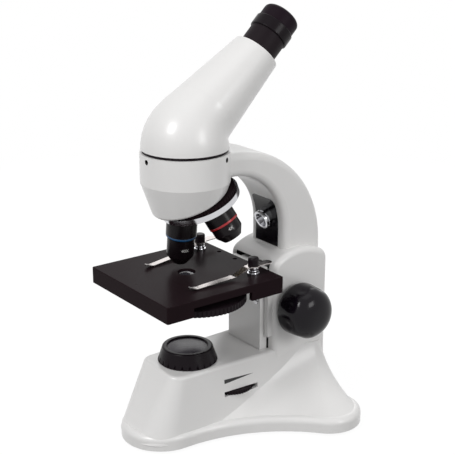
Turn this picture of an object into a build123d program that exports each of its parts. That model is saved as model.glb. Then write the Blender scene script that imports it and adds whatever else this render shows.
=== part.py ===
from build123d import *
import os
from math import acos, cos, exp, pi, radians, sin, sqrt, tan

# Student microscope with an inclined monocular head, a three-place turret and a rack-driven stage.
# Millimetres, Z up from the table, the user's side opposite the arm is -Y.
# Every section is drawn with Y counted from the optical axis, and moved to the base centre on export.

# Fits
slide_fit = 0.06
turn_fit = 0.05
seat_gap = 0.1
air_gap = 0.4

# Base
base_length = 152.0
base_width = 150.0
axis_from_front = 48.7
foot_height = 2.5
foot_radius = 7.0
foot_peg_radius = 4.0
foot_peg_height = 1.6
skirt_height = 10.0
skirt_round = 4.0
lobe_radius = 27.7
wing_radius = 23.0
waist_radius = 112.0
wing_fall = 18.0
wing_root_half = 20.0
wing_root_radius = 7.0
lobe_root_radius = 14.0
lobe_root_back = 32.0
casting_wall = 4.0
cover_thickness = 2.2
cover_ledge = 3.0
cover_fit = 0.3
cover_screw_radius = 1.5
cover_screw_head_radius = 2.8
cover_screw_head_height = 1.2
cover_boss_radius = 4.5
cover_screw_spread = 11.0
cover_screw_ahead = 3.0
cover_screw_wing_inset = 10.0
cover_screw_wing_ahead = 6.3
wing_section_shares = (0.2, 0.475, 0.95)

# Front body under the lower lamp
platform_height = 50.0
platform_front = 24.5
platform_front_half = 21.3
platform_rear_half = 25.3
platform_corner = 9.0
platform_round = 2.5
body_foot_front = 47.2
body_foot_front_half = 25.0
body_foot_rear_half = 33.0
body_foot_corner = 21.0

# Focus housing and arm
housing_half = 25.0
housing_front = 54.6
housing_rear_inset = 1.9
housing_shoulder_rise = 1.0
housing_crown_rise = 7.5
housing_round = 4.0
arm_half = 18.5
arm_round = 5.0
arm_back_inset = 0.9
arm_top_drop = 2.5
arm_top_thickness = 16.0
arm_throat_setback = 12.4
arm_outer_radius = 72.5
arm_inner_radius = 42.0

# Nose cup and head seat
cup_radius = 28.9
cup_wall_height = 19.5
cup_crease_rise = 16.7
cup_taper = 19.0
cup_bore_radius = 21.0
cup_bore_depth = 9.0
cup_light_radius = 15.0
cup_bottom_round = 2.0
lock_screw_radius = 1.6
lock_screw_drop = 3.4
lock_screw_recess = 2.0

# Stage carriage
stage_top = 112.5
stage_size = 90.0
stage_plate_thickness = 3.5
stage_skirt_depth = 10.9
stage_wall = 3.0
stage_edge_round = 1.0
stage_hole_radius = 6.0
accessory_hole_radius = 1.6
accessory_hole_spacing = 18.0
accessory_hole_centre_x = -10.0
accessory_hole_y = 40.4
stage_travel_up = 1.8
stage_travel_down = 13.0
slide_half = 17.6
slide_front = 47.7
slide_thickness = 5.9
slide_shelf_reach = 24.0
slide_shelf_thickness = 5.2
dovetail_neck_half = 11.0
dovetail_flare = 2.5
dovetail_depth = 7.0
slot_half = 18.4
lip_width = 3.5
lip_depth = 3.6
lip_rise = 10.0
lip_drop = 7.0
rail_rise = 8.0
rail_drop = 3.0
slide_screw_radius = 2.6
slide_screw_spread = 13.0
slide_screw_drop = 24.0
stage_screw_radius = 1.5
stage_screw_spread = 12.0
stage_screw_y = 33.0

# Rack and pinion
gear_module = 0.8
pinion_teeth = 14
pressure_angle = 25.0
tooth_backlash = 0.16
rack_half = 4.0
rack_teeth = 12
shaft_back = 71.0
shaft_drop = 29.7
shaft_radius = 3.0
pinion_half = 5.0
gear_bay_half = 14.0
gear_bay_depth = 9.0
bush_radius = 6.0
bush_flange_radius = 8.5
bush_flange = 1.2
knob_radius = 17.8
knob_thickness = 23.5
knob_round = 6.0
knob_dish_radius = 9.5
knob_dish_depth = 2.2

# Diaphragm under the stage
disc_radius = 32.8
disc_rim = 4.2
disc_web = 1.6
disc_rim_width = 4.0
disc_knurl_count = 72
disc_knurl_radius = 0.6
disc_pivot_x = 14.8
disc_pivot_y = -3.0
disc_pivot_radius = 2.5
disc_pivot_head_radius = 5.0
disc_pivot_head = 1.3
disc_boss_radius = 5.0
aperture_radii = (0.8, 1.6, 2.4, 3.4, 4.4, 5.4)
condenser_ring_radius = 8.8
condenser_bore_radius = 4.8
condenser_lens_rise = 1.2
condenser_lens_edge = 1.6

# Stage clips
clip_post_x = 30.0
clip_post_y = 32.0
clip_post_radius = 3.2
clip_post_flange_radius = 4.0
clip_post_height = 5.6
clip_neck_radius = 2.0
clip_cap_radius = 3.6
clip_cap_height = 5.4
clip_thickness = 0.6
clip_tail = 14.5
clip_step = 10.0
clip_reach = 51.0
clip_width = 7.0
clip_tip_width = 5.0
clip_foot_gap = 0.4
clip_left_turn = 10.0

# Turret and objectives
turret_tilt = 22.0
turret_back = 11.4
turret_rise = 45.3
objective_room = 7.5
objective_4x_shorter = 13.3
objective_10x_shorter = 6.8
turret_rest_turn = -24.5
turret_ring_radius = 26.7
turret_ring_height = 3.9
turret_band_radius = 25.2
turret_band_height = 2.4
turret_knurl_count = 60
turret_knurl_radius = 0.5
turret_base_radius = 20.0
turret_base_thickness = 1.5
turret_pivot_radius = 2.0
turret_pivot_head_radius = 3.2
turret_pivot_head = 1.8
seat_boss_radius = 10.5
seat_boss_length = 4.6
thread_radius = 8.0
thread_length = 4.0
collar_radius = 10.2
objective_bore_radius = 4.0
objective_groove = 0.5
objective_lens_thickness = 1.5

# Head
head_gap = 1.9
head_flange_radius = 27.4
head_spigot_length = 8.0
head_bore_radius = 14.0
head_base_radius = 28.2
head_wall = 3.5
tube_tilt = 45.0
tube_end_y = 56.1
tube_end_rise = 56.6
tube_end_radius = 15.8
tube_start = 0.15
bend_y = 11.5
bend_rise = 21.0
bend_radius = 22.9
prism_leg = 17.0
prism_half = 8.0
prism_seat_height = 2.5

# Eyepiece
eyepiece_radius = 11.6
eyepiece_wall = 1.6
eyepiece_insert = 26.0
sleeve_wall = 0.84
sleeve_insert = 12.0
sleeve_reach = 13.7
eyepiece_flange_radius = 13.5
eyepiece_flange = 7.8
eyecup_radius = 12.6
eyecup_height = 10.0
eyecup_dish_radius = 8.0
eye_lens_radius = 6.0
eye_lens_thickness = 2.5
field_lens_thickness = 3.0

# Lower lamp
bezel_flare = 2.7
bezel_rim_wall = 3.8
bezel_height = 10.3
bezel_band = 3.6
bezel_notch_count = 24
bezel_notch_radius = 1.3
bezel_spigot_wall = 2.0
bezel_bore_radius = 12.5
lamp_lens_ledge = 1.1
lamp_lens_edge = 1.8
lamp_lens_rise = 1.0
lamp_lens_sink = 2.8
led_board_thickness = 1.6
led_board_ledge = 1.5
led_radius = 4.0
led_height = 5.0

# Upper lamp
panel_half = 12.0
panel_rise = 7.0
panel_top_drop = 22.8
panel_thickness = 3.0
panel_corner = 4.0
upper_lamp_rise = 19.0
upper_lamp_radius = 6.5
upper_lamp_reach = 5.5
upper_lamp_depth = 9.0
upper_lamp_wall = 1.5

# Dimmer, inlet and switch
dimmer_radius = 15.0
dimmer_thickness = 2.6
dimmer_proud = 3.4
dimmer_y = 25.9
dimmer_height = 29.5
dimmer_slot_length = 27.0
dimmer_knurl_count = 48
dimmer_knurl_radius = 0.6
dimmer_spindle_radius = 3.0
pot_radius = 6.0
rear_panel_height = 36.0
rear_bay_rise = 10.0
rear_bay_half = 19.0
rear_bay_depth = 13.0
inlet_x = 10.0
inlet_flange_radius = 5.5
inlet_flange = 1.4
inlet_body_radius = 4.5
inlet_body_length = 11.0
inlet_socket_radius = 2.8
inlet_socket_depth = 9.0
inlet_pin_radius = 1.0
switch_x = -9.0
switch_width = 15.0
switch_tall = 11.0
switch_frame = 1.4
switch_rim = 1.8
switch_body_depth = 10.0
rocker_radius = 5.2
rocker_proud = 0.4
rocker_swing_room = 0.8
rocker_pin_radius = 0.8

# Places worked out from the sizes above
axis_y = axis_from_front - base_length / 2
base_front = -axis_from_front
base_rear = base_length - axis_from_front
skirt_top = foot_height + skirt_height
cover_top = foot_height + cover_thickness
lobe_y = base_front + lobe_radius
wing_x = base_width / 2 - wing_radius
wing_y = base_rear - wing_radius
cavity_top = platform_height - casting_wall
housing_rear = base_rear - housing_rear_inset
slide_bottom = cavity_top
slide_back = slide_front + slide_thickness
stage_under = stage_top - stage_plate_thickness
stage_skirt_bottom = stage_top - stage_skirt_depth
shelf_bottom = stage_under - slide_shelf_thickness
dovetail_back = slide_back + dovetail_depth
rail_front = slide_back + 2 * seat_gap
slot_back = dovetail_back + 2 * seat_gap
slide_screw_height = stage_under - slide_screw_drop
slot_top = stage_under + stage_travel_up + 2 * seat_gap
lip_bottom = platform_height + lip_rise
lip_top = slot_top - lip_drop
rail_bottom = platform_height + rail_rise
rail_top = slot_top - rail_drop
slot_bottom = rail_bottom - stage_travel_down - 2 * air_gap
housing_shoulder = slot_top + housing_shoulder_rise
housing_crown = housing_shoulder + housing_crown_rise
shaft_height = stage_under - shaft_drop
pitch_radius = gear_module * pinion_teeth / 2
rack_pitch = pi * gear_module
rack_line = shaft_back - pitch_radius
disc_top = shelf_bottom - air_gap
disc_bottom = disc_top - disc_rim
tilt = radians(turret_tilt)
turret_height = stage_top + turret_rise
turret_down = (0, sin(tilt), -cos(tilt))
turret_axis = Axis((0, turret_back, turret_height), turret_down)
turret_plane = Plane((0, turret_back, turret_height), (1, 0, 0), turret_down)
seat_height = turret_height - turret_back * tan(tilt)
cup_cut = -(turret_ring_height + turret_band_height + air_gap)
cup_crease = turret_height + cup_crease_rise
cup_top = cup_crease + cup_wall_height
head_low = cup_top + head_gap
bend_z = cup_top + bend_rise
tube_end_z = cup_top + tube_end_rise
arm_top = cup_top - arm_top_drop
arm_ceiling = arm_top - arm_top_thickness
arm_back = housing_rear - arm_back_inset
arm_throat = housing_front + arm_throat_setback
arm_outer_centre_y = arm_back - arm_outer_radius
arm_outer_centre_z = arm_top - arm_outer_radius
arm_inner_centre_y = arm_throat - arm_inner_radius
arm_inner_centre_z = arm_ceiling - arm_inner_radius
panel_bottom = housing_shoulder + panel_rise
panel_top = arm_ceiling - panel_top_drop
upper_lamp_height = panel_bottom + upper_lamp_rise
upper_lamp_bore_radius = upper_lamp_radius - upper_lamp_wall
upper_led_radius = upper_lamp_bore_radius / 2
sleeve_radius = eyepiece_radius + slide_fit + sleeve_wall
bezel_spigot_radius = bezel_bore_radius + bezel_spigot_wall
lamp_lens_radius = bezel_bore_radius + lamp_lens_ledge
bezel_rim_radius = lamp_lens_radius + bezel_rim_wall
bezel_foot_radius = bezel_rim_radius + bezel_flare
led_board_radius = bezel_bore_radius + led_board_ledge
rear_bay_top = rear_panel_height + rear_bay_rise
objective_reach = turret_rise - objective_room
objective_sizes = {
    "objective_40x": {"length": objective_reach, "band": 18.0, "body_radius": 9.1,
                      "nose_length": 5.5, "nose_radius": 5.0},
    "objective_4x": {"length": objective_reach - objective_4x_shorter, "band": 13.0, "body_radius": 9.6,
                     "nose_length": 5.0, "nose_radius": 6.2},
    "objective_10x": {"length": objective_reach - objective_10x_shorter, "band": 15.5, "body_radius": 9.4,
                      "nose_length": 6.0, "nose_radius": 5.4},
}
tube_axis = (0, sin(radians(tube_tilt)), cos(radians(tube_tilt)))
tube_plane = Plane((0, tube_end_y, tube_end_z), (1, 0, 0), tube_axis)
cover_screw_places = ((cover_screw_spread, lobe_y - cover_screw_ahead),
                      (wing_x - cover_screw_wing_inset, wing_y - cover_screw_wing_ahead))
cover_screw_spots = [(side * x, y) for x, y in cover_screw_places for side in (1, -1)]
foot_inset = cover_ledge + cover_fit + foot_radius + air_gap
foot_wing_x = base_width / 2 - foot_inset
foot_spots = ((0, base_front + foot_inset), (foot_wing_x, wing_y), (-foot_wing_x, wing_y))


def block(x0, x1, y0, y1, z0, z1):
    return Pos((x0 + x1) / 2, (y0 + y1) / 2, (z0 + z1) / 2) * Box(x1 - x0, y1 - y0, z1 - z0)


def rod(radius, bottom, top):
    return Pos(0, 0, bottom) * extrude(Circle(radius), top - bottom)


def tube(outer, inner, bottom, top):
    return Pos(0, 0, bottom) * extrude(Circle(outer) - Circle(inner), top - bottom)


def side_rod(radius, x0, x1):
    return Pos(x0, 0, 0) * Rot(0, 90, 0) * extrude(Circle(radius), x1 - x0)


def turned(points, rounds=()):
    # points are (radius, height); rounds are (corner, radius) pairs
    face = make_face(Polyline(*points, close=True))
    for corner, radius in rounds:
        face = fillet(face.vertices().sort_by_distance((*corner, 0))[0], radius)
    return revolve(Plane.XZ * face, Axis.Z)


def knurled(radius, knurl, count):
    return Circle(radius) - PolarLocations(radius, count) * Circle(knurl)


def dome(radius, edge, rise):
    # a plano-convex lens on the plane z=0
    crown = (radius ** 2 + rise ** 2) / (2 * rise)
    slab = rod(radius, 0, edge + rise)
    return slab & (Pos(0, 0, edge + rise - crown) * Sphere(crown))


def both_sides(shape):
    return shape + mirror(shape, Plane.YZ)


def turret_turn(shape, angle):
    return shape.rotate(turret_axis, -angle)


# Base, housing, arm and cup: one casting

def base_outline(lobe_cy, lobe_r, wing_cx, wing_cy, wing_r, waist_r):
    # front lobe and two wings joined by concave arcs that touch both, with a straight rear edge
    lobe = Vector(0, lobe_cy)
    wing = Vector(wing_cx, wing_cy)
    across = wing - lobe
    along = (across.length ** 2 + (lobe_r + waist_r) ** 2 - (wing_r + waist_r) ** 2) / (2 * across.length)
    aside = sqrt((lobe_r + waist_r) ** 2 - along ** 2)
    ahead = across.normalized()
    waist = lobe + ahead * along + Vector(ahead.Y, -ahead.X) * aside
    on_lobe = lobe + (waist - lobe).normalized() * lobe_r
    on_wing = wing + (waist - wing).normalized() * wing_r
    rear = wing + Vector(0, wing_r)
    inward = (on_lobe - waist).normalized() + (on_wing - waist).normalized()
    waist_mid = waist + inward.normalized() * waist_r
    wing_mid = wing + ((on_wing - wing).normalized() + Vector(0, 1)).normalized() * wing_r
    half = [ThreePointArc(on_lobe, waist_mid, on_wing), ThreePointArc(on_wing, wing_mid, rear)]
    front = ThreePointArc(Vector(-on_lobe.X, on_lobe.Y), lobe - Vector(0, lobe_r), on_lobe)
    back = Line(rear, Vector(-rear.X, rear.Y))
    return make_face([front, *half, back, *[mirror(edge, Plane.YZ) for edge in half]])


def skirt_outline(inset):
    return base_outline(lobe_y, lobe_radius - inset, wing_x, wing_y, wing_radius - inset,
                        waist_radius + inset)


def skirt():
    slab = Pos(0, 0, foot_height) * extrude(skirt_outline(0), skirt_height)
    return fillet(slab.faces().sort_by(Axis.Z)[-1].edges(), skirt_round)


def wing_section(height):
    # the wings fall away from the housing in a curve that halves every few millimetres of height
    spread = exp(-(height - skirt_top) / wing_fall)
    inset = skirt_round + air_gap
    half = wing_root_half + (base_width / 2 - inset - wing_root_half) * spread
    wing_r = wing_root_radius + (wing_radius - inset - wing_root_radius) * spread
    lobe_r = lobe_root_radius + (lobe_radius - inset - lobe_root_radius) * spread
    rear = base_rear - inset
    waist_r = (waist_radius + inset) / spread
    lobe_cy = lobe_y + lobe_root_back * (1 - spread)
    return Pos(0, 0, height) * base_outline(lobe_cy, lobe_r, half - wing_r, rear - wing_r, wing_r, waist_r)


def wings():
    rise = platform_height - skirt_top
    heights = [skirt_top - air_gap, *[skirt_top + rise * share for share in wing_section_shares]]
    return loft([wing_section(height) for height in heights])


def body_outline(front, front_half, rear_half, corner, rear):
    face = make_face(Polyline((-front_half, -front), (front_half, -front), (rear_half, rear),
                              (-rear_half, rear), close=True))
    return fillet(face.vertices().group_by(Axis.Y)[0], corner)


def front_body(inset, bottom, top, rear):
    foot = body_outline(body_foot_front - inset, body_foot_front_half - inset, body_foot_rear_half - inset,
                        body_foot_corner - inset, rear)
    head = body_outline(platform_front - inset, platform_front_half - inset, platform_rear_half - inset,
                        platform_corner - inset, rear)
    return loft([Pos(0, 0, bottom) * foot, Pos(0, 0, top) * head])


def housing():
    crown_y = (housing_front + housing_rear) / 2
    foot = skirt_top - skirt_round
    side = make_face([Line((housing_front, foot), (housing_front, housing_shoulder)),
                      ThreePointArc((housing_front, housing_shoulder), (crown_y, housing_crown),
                                    (housing_rear, housing_shoulder)),
                      Line((housing_rear, housing_shoulder), (housing_rear, foot)),
                      Line((housing_rear, foot), (housing_front, foot))])
    shoulders = side.vertices().filter_by(lambda corner: corner.Y > foot + housing_round)
    side = fillet(shoulders, 2 * housing_round)
    solid = extrude(Plane.YZ * side, housing_half, both=True)
    edges = [edge for face in solid.faces().filter_by(Axis.X) for edge in face.edges()
             if edge.center().Z > foot + housing_round]
    return fillet(edges, housing_round)


def arm():
    foot = housing_shoulder - 2 * arm_round
    outer_mid = (arm_outer_centre_y + arm_outer_radius * sin(pi / 4),
                 arm_outer_centre_z + arm_outer_radius * cos(pi / 4))
    inner_mid = (arm_inner_centre_y + arm_inner_radius * sin(pi / 4),
                 arm_inner_centre_z + arm_inner_radius * cos(pi / 4))
    crest = (arm_outer_centre_y, arm_top)
    spine = (arm_back, arm_outer_centre_z)
    throat = (arm_throat, arm_inner_centre_z)
    ceiling = (arm_inner_centre_y, arm_ceiling)
    side = make_face([Line((0, arm_ceiling), (0, arm_top)), Line((0, arm_top), crest),
                      ThreePointArc(crest, outer_mid, spine), Line(spine, (arm_back, foot)),
                      Line((arm_back, foot), (arm_throat, foot)), Line((arm_throat, foot), throat),
                      ThreePointArc(throat, inner_mid, ceiling), Line(ceiling, (0, arm_ceiling))])
    solid = extrude(Plane.YZ * side, arm_half, both=True)
    flanks = solid.faces().filter_by(Axis.X)
    edges = [edge for face in flanks for edge in face.edges()
             if edge.center().Y > arm_round and edge.center().Z > foot + arm_round]
    return fillet(edges, arm_round)


def cup():
    drop = cup_crease - turret_height + cup_radius
    foot = cup_crease - drop
    rim_radius = cup_radius - drop * tan(radians(cup_taper))
    solid = turned([(0, cup_top), (cup_radius, cup_top), (cup_radius, cup_crease), (rim_radius, foot),
                    (0, foot)])
    wide = 4 * cup_radius
    solid = solid - turret_plane * Pos(0, 0, cup_cut) * extrude(Rectangle(wide, wide), wide)
    rim = solid.faces().sort_by(Axis(turret_axis.position, turret_axis.direction))[-1]
    return fillet(rim.edges(), cup_bottom_round)


def panel_solid(grow, thickness):
    # the strip of the arm's throat between two heights, from the throat surface into the arm
    rise = panel_top + grow - arm_inner_centre_z
    ring = Circle(arm_inner_radius + thickness) - Circle(arm_inner_radius)
    upper = Rectangle(2 * arm_throat, rise, align=(Align.MIN, Align.MIN))
    drop = arm_inner_centre_z - panel_bottom + grow
    lower = Pos(arm_inner_radius, 0) * Rectangle(thickness, drop, align=(Align.MIN, Align.MAX))
    side = Plane.YZ * (Pos(arm_inner_centre_y, arm_inner_centre_z) * ((ring & upper) + lower))
    solid = extrude(side, panel_half + grow, both=True)
    corners = solid.edges().filter_by(Axis.Y, tolerance=30).group_by(Axis.Z)[-1]
    return fillet(corners, panel_corner)


def upper_lamp_plane():
    rise = upper_lamp_height - arm_inner_centre_z
    back = arm_inner_centre_y + sqrt(arm_inner_radius ** 2 - rise ** 2)
    aim = Vector(0, -back, stage_top - upper_lamp_height)
    return Plane((0, back, upper_lamp_height), (1, 0, 0), aim)


def lock_spots():
    return [Rot(0, 0, turn) for turn in (0, 120, 240)]


def stand():
    shell = skirt() + wings()
    front = front_body(0, foot_height + skirt_round, platform_height, housing_rear - casting_wall)
    top_edges = front.faces().sort_by(Axis.Z)[-1].edges()
    front = fillet([edge for edge in top_edges if edge.center().Y < housing_rear - 2 * casting_wall],
                   platform_round)
    shell = shell + front + housing() + arm() + cup()
    shell = shell + both_sides(block(slot_half - seat_gap, slot_half + lip_width, housing_front - lip_depth,
                                     housing_front + casting_wall, lip_bottom, lip_top))
    # hollow base with a ledge for its cover and bosses for the cover screws
    hollow = Pos(0, 0, foot_height) * extrude(skirt_outline(cover_ledge), cover_thickness)
    hollow = hollow + Pos(0, 0, foot_height) * extrude(skirt_outline(cover_ledge + casting_wall),
                                                       skirt_height - casting_wall)
    hollow = hollow + front_body(casting_wall, foot_height, cavity_top, housing_front)
    hollow = hollow + block(-rear_bay_half, rear_bay_half, housing_rear - casting_wall - rear_bay_depth,
                            housing_rear - casting_wall, foot_height, rear_bay_top)
    for x, y in cover_screw_spots:
        boss = Pos(x, y, 0) * tube(cover_boss_radius, cover_screw_radius + turn_fit, cover_top, cavity_top)
        hollow = hollow - boss
    shell = shell - hollow
    # slot for the slide and its rails, and the bay behind it for the rack and pinion
    shell = shell - block(-slot_half, slot_half, housing_front - casting_wall, slot_back, slot_bottom,
                          slot_top)
    well = slide_half + air_gap
    shell = shell - block(-well, well, slide_front - air_gap, slot_back, cavity_top - air_gap,
                          platform_height + air_gap)
    shell = shell - block(-gear_bay_half, gear_bay_half, slot_back - seat_gap, shaft_back + gear_bay_depth,
                          shaft_height - 3 * gear_bay_depth, shaft_height + 3 * gear_bay_depth)
    shell = shell - Pos(0, shaft_back, shaft_height) * side_rod(bush_radius, -housing_half, housing_half)
    # lower lamp hole
    shell = shell - rod(bezel_spigot_radius + seat_gap, cavity_top - air_gap, platform_height + air_gap)
    # bore of the cup, with the lock screw holes
    shell = shell - rod(cup_bore_radius, cup_top - cup_bore_depth, cup_top + air_gap)
    light_bore = rod(cup_light_radius, turret_height - cup_radius, cup_top)
    above = turret_plane * Pos(0, 0, cup_cut + air_gap) * extrude(
        Rectangle(4 * cup_radius, 4 * cup_radius), -4 * cup_radius)
    shell = shell - (light_bore & above)
    for turn in lock_spots():
        hole = Pos(0, 0, cup_top - lock_screw_drop) * Rot(90, 0, 0) * extrude(
            Circle(lock_screw_radius + turn_fit), cup_radius + air_gap)
        shell = shell - turn * hole
    # pocket for the lamp panel and well for the lamp
    shell = shell - panel_solid(seat_gap, panel_thickness + seat_gap)
    lamp = rod(upper_lamp_radius + seat_gap, -upper_lamp_depth - seat_gap, upper_lamp_reach)
    shell = shell - upper_lamp_plane() * lamp
    # dimmer slot, inlet hole and switch window
    half_slot = dimmer_slot_length / 2
    slot_tall = dimmer_thickness / 2 + air_gap
    shell = shell - block(platform_front_half - 2 * casting_wall, base_width / 2, dimmer_y - half_slot,
                          dimmer_y + half_slot, dimmer_height - slot_tall, dimmer_height + slot_tall)
    rear_wall = Pos(0, housing_rear - 2 * casting_wall, rear_panel_height) * Rot(-90, 0, 0)
    shell = shell - rear_wall * Pos(inlet_x, 0, 0) * rod(inlet_body_radius + seat_gap, 0, 3 * casting_wall)
    shell = shell - block(switch_x - switch_width / 2 - seat_gap, switch_x + switch_width / 2 + seat_gap,
                          housing_rear - 2 * casting_wall, housing_rear + casting_wall,
                          rear_panel_height - switch_tall / 2 - seat_gap,
                          rear_panel_height + switch_tall / 2 + seat_gap)
    return shell


def base_cover():
    plate = Pos(0, 0, foot_height) * extrude(skirt_outline(cover_ledge + cover_fit), cover_thickness)
    for x, y in cover_screw_spots:
        plate = plate - Pos(x, y, 0) * rod(cover_screw_radius + turn_fit, 0, cover_top + air_gap)
        plate = plate - Pos(x, y, 0) * rod(cover_screw_head_radius + seat_gap, 0,
                                           foot_height + cover_screw_head_height)
    peg_hole = rod(foot_peg_radius + turn_fit, 0, foot_height + foot_peg_height + turn_fit)
    for x, y in foot_spots:
        plate = plate - Pos(x, y, 0) * peg_hole
    return plate


def cover_screws():
    screw = rod(cover_screw_head_radius, foot_height, foot_height + cover_screw_head_height)
    screw = screw + rod(cover_screw_radius, foot_height, skirt_top - casting_wall - air_gap)
    slot = block(-cover_screw_head_radius, cover_screw_head_radius, -cover_screw_head_height / 4,
                 cover_screw_head_height / 4, 0, foot_height + cover_screw_head_height / 2)
    screw = screw - slot
    return Compound([Pos(x, y, 0) * screw for x, y in cover_screw_spots])


def rubber_feet():
    foot = turned([(0, 0), (foot_radius, 0), (foot_radius, foot_height), (foot_peg_radius, foot_height),
                   (foot_peg_radius, foot_height + foot_peg_height), (0, foot_height + foot_peg_height)],
                  [((foot_radius, 0), foot_height / 3)])
    return Compound([Pos(x, y, 0) * foot for x, y in foot_spots])


# Lower lamp

def lamp_bezel():
    foot = platform_height
    top = foot + bezel_height
    seat = top - lamp_lens_sink
    solid = turned([(bezel_bore_radius, cavity_top), (bezel_spigot_radius, cavity_top),
                    (bezel_spigot_radius, foot), (bezel_foot_radius, foot),
                    (bezel_foot_radius, foot + bezel_band), (bezel_rim_radius, top),
                    (lamp_lens_radius + turn_fit, top),
                    (lamp_lens_radius + turn_fit, seat), (bezel_bore_radius, seat)],
                   [((bezel_rim_radius, top), (bezel_rim_radius - lamp_lens_radius) / 4)])
    notches = Sketch() + PolarLocations(bezel_foot_radius, bezel_notch_count) * Circle(bezel_notch_radius)
    return solid - Pos(0, 0, foot) * extrude(notches, bezel_band)


def lamp_lens():
    seat = platform_height + bezel_height - lamp_lens_sink
    return Pos(0, 0, seat) * dome(lamp_lens_radius, lamp_lens_edge, lamp_lens_rise)


def led_board():
    return rod(led_board_radius, cavity_top - led_board_thickness, cavity_top)


def lower_led():
    body = rod(led_radius, cavity_top, cavity_top + led_height)
    return fillet(body.faces().sort_by(Axis.Z)[-1].edges(), led_radius * 0.9)


# Upper lamp in the arm's throat

def lamp_panel():
    plate = panel_solid(0, panel_thickness)
    hole = rod(upper_lamp_radius + turn_fit, -upper_lamp_depth, 2 * upper_lamp_reach)
    return plate - upper_lamp_plane() * hole


def upper_lamp_barrel():
    step = upper_lamp_reach / 4
    barrel = turned([(upper_lamp_bore_radius / 2, -upper_lamp_depth), (upper_lamp_radius, -upper_lamp_depth),
                     (upper_lamp_radius, upper_lamp_reach - 2 * step),
                     (upper_lamp_radius - step / 2, upper_lamp_reach - 2 * step),
                     (upper_lamp_radius - step / 2, upper_lamp_reach - step),
                     (upper_lamp_radius, upper_lamp_reach - step),
                     (upper_lamp_radius, upper_lamp_reach), (upper_lamp_bore_radius, upper_lamp_reach),
                     (upper_lamp_bore_radius / 2, -upper_lamp_depth / 2)])
    return upper_lamp_plane() * barrel


def upper_led():
    body = rod(upper_led_radius, -upper_lamp_depth, 0)
    body = fillet(body.faces().sort_by(Axis.Z)[-1].edges(), upper_led_radius * 0.9)
    return upper_lamp_plane() * (body + rod(upper_lamp_bore_radius / 2 - turn_fit, -upper_lamp_depth,
                                            -upper_lamp_depth / 2))


# Stage carriage

def dovetail(grow, bottom, top):
    neck = dovetail_neck_half + grow
    face = make_face(Polyline((-neck, slide_back - seat_gap), (neck, slide_back - seat_gap),
                              (neck + dovetail_flare, dovetail_back + grow),
                              (-neck - dovetail_flare, dovetail_back + grow), close=True))
    return Pos(0, 0, bottom) * extrude(face, top - bottom)


def guide_rails():
    wide = dovetail_neck_half + dovetail_flare + slide_fit
    jaw = block(0, slot_half, rail_front, slot_back, rail_bottom, rail_top)
    jaw = jaw - block(-wide, wide, dovetail_back, slot_back + seat_gap, rail_bottom, rail_top)
    tail = dovetail(slide_fit, rail_bottom - air_gap, rail_top + air_gap)
    return both_sides(jaw - tail)


def stage_slide():
    plate = block(-slide_half, slide_half, slide_front, slide_back, slide_bottom, stage_under)
    shelf = block(-slide_half, slide_half, slide_shelf_reach, slide_back, shelf_bottom, stage_under)
    solid = plate + shelf + dovetail(0, rail_bottom, stage_under)
    screw_hole = Pos(0, slide_front, slide_screw_height) * Rot(-90, 0, 0) * rod(
        slide_screw_radius + turn_fit, -air_gap, slide_thickness / 2)
    bolt_hole = Pos(0, stage_screw_y, 0) * rod(stage_screw_radius + turn_fit, shelf_bottom - air_gap,
                                               stage_under + air_gap)
    for side in (-1, 1):
        solid = solid - Pos(side * slide_screw_spread, 0, 0) * screw_hole
        solid = solid - Pos(side * stage_screw_spread, 0, 0) * bolt_hole
    return solid


def slide_screws():
    screw = rod(slide_screw_radius, -air_gap, slide_thickness / 2)
    screw = screw - block(-slide_screw_radius, slide_screw_radius, -air_gap, air_gap, -2 * air_gap, air_gap)
    screw = Rot(-90, 0, 0) * screw
    return Compound([Pos(side * slide_screw_spread, slide_front, slide_screw_height) * screw
                              for side in (-1, 1)])


def focus_rack():
    # straight-flanked teeth, one of them level with the pinion
    lean = tan(radians(pressure_angle))
    half_tooth = rack_pitch / 4 - tooth_backlash / 2
    tip = half_tooth - gear_module * lean
    root = half_tooth + gear_module * lean
    root_line = rack_line - gear_module
    tip_line = rack_line + gear_module
    tooth = make_face(Polyline((root_line - seat_gap, -root), (root_line, -root), (tip_line, -tip),
                               (tip_line, tip), (root_line, root), (root_line - seat_gap, root), close=True))
    first = -(rack_teeth // 4)
    low = (first - 0.5) * rack_pitch
    high = (first + rack_teeth - 0.5) * rack_pitch
    bar = make_face(Polyline((dovetail_back, low), (root_line, low), (root_line, high), (dovetail_back, high),
                             close=True))
    for number in range(first, first + rack_teeth):
        bar = bar + Pos(0, number * rack_pitch) * tooth
    return Pos(0, 0, shaft_height) * extrude(Plane.YZ * bar, rack_half, both=True)


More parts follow.
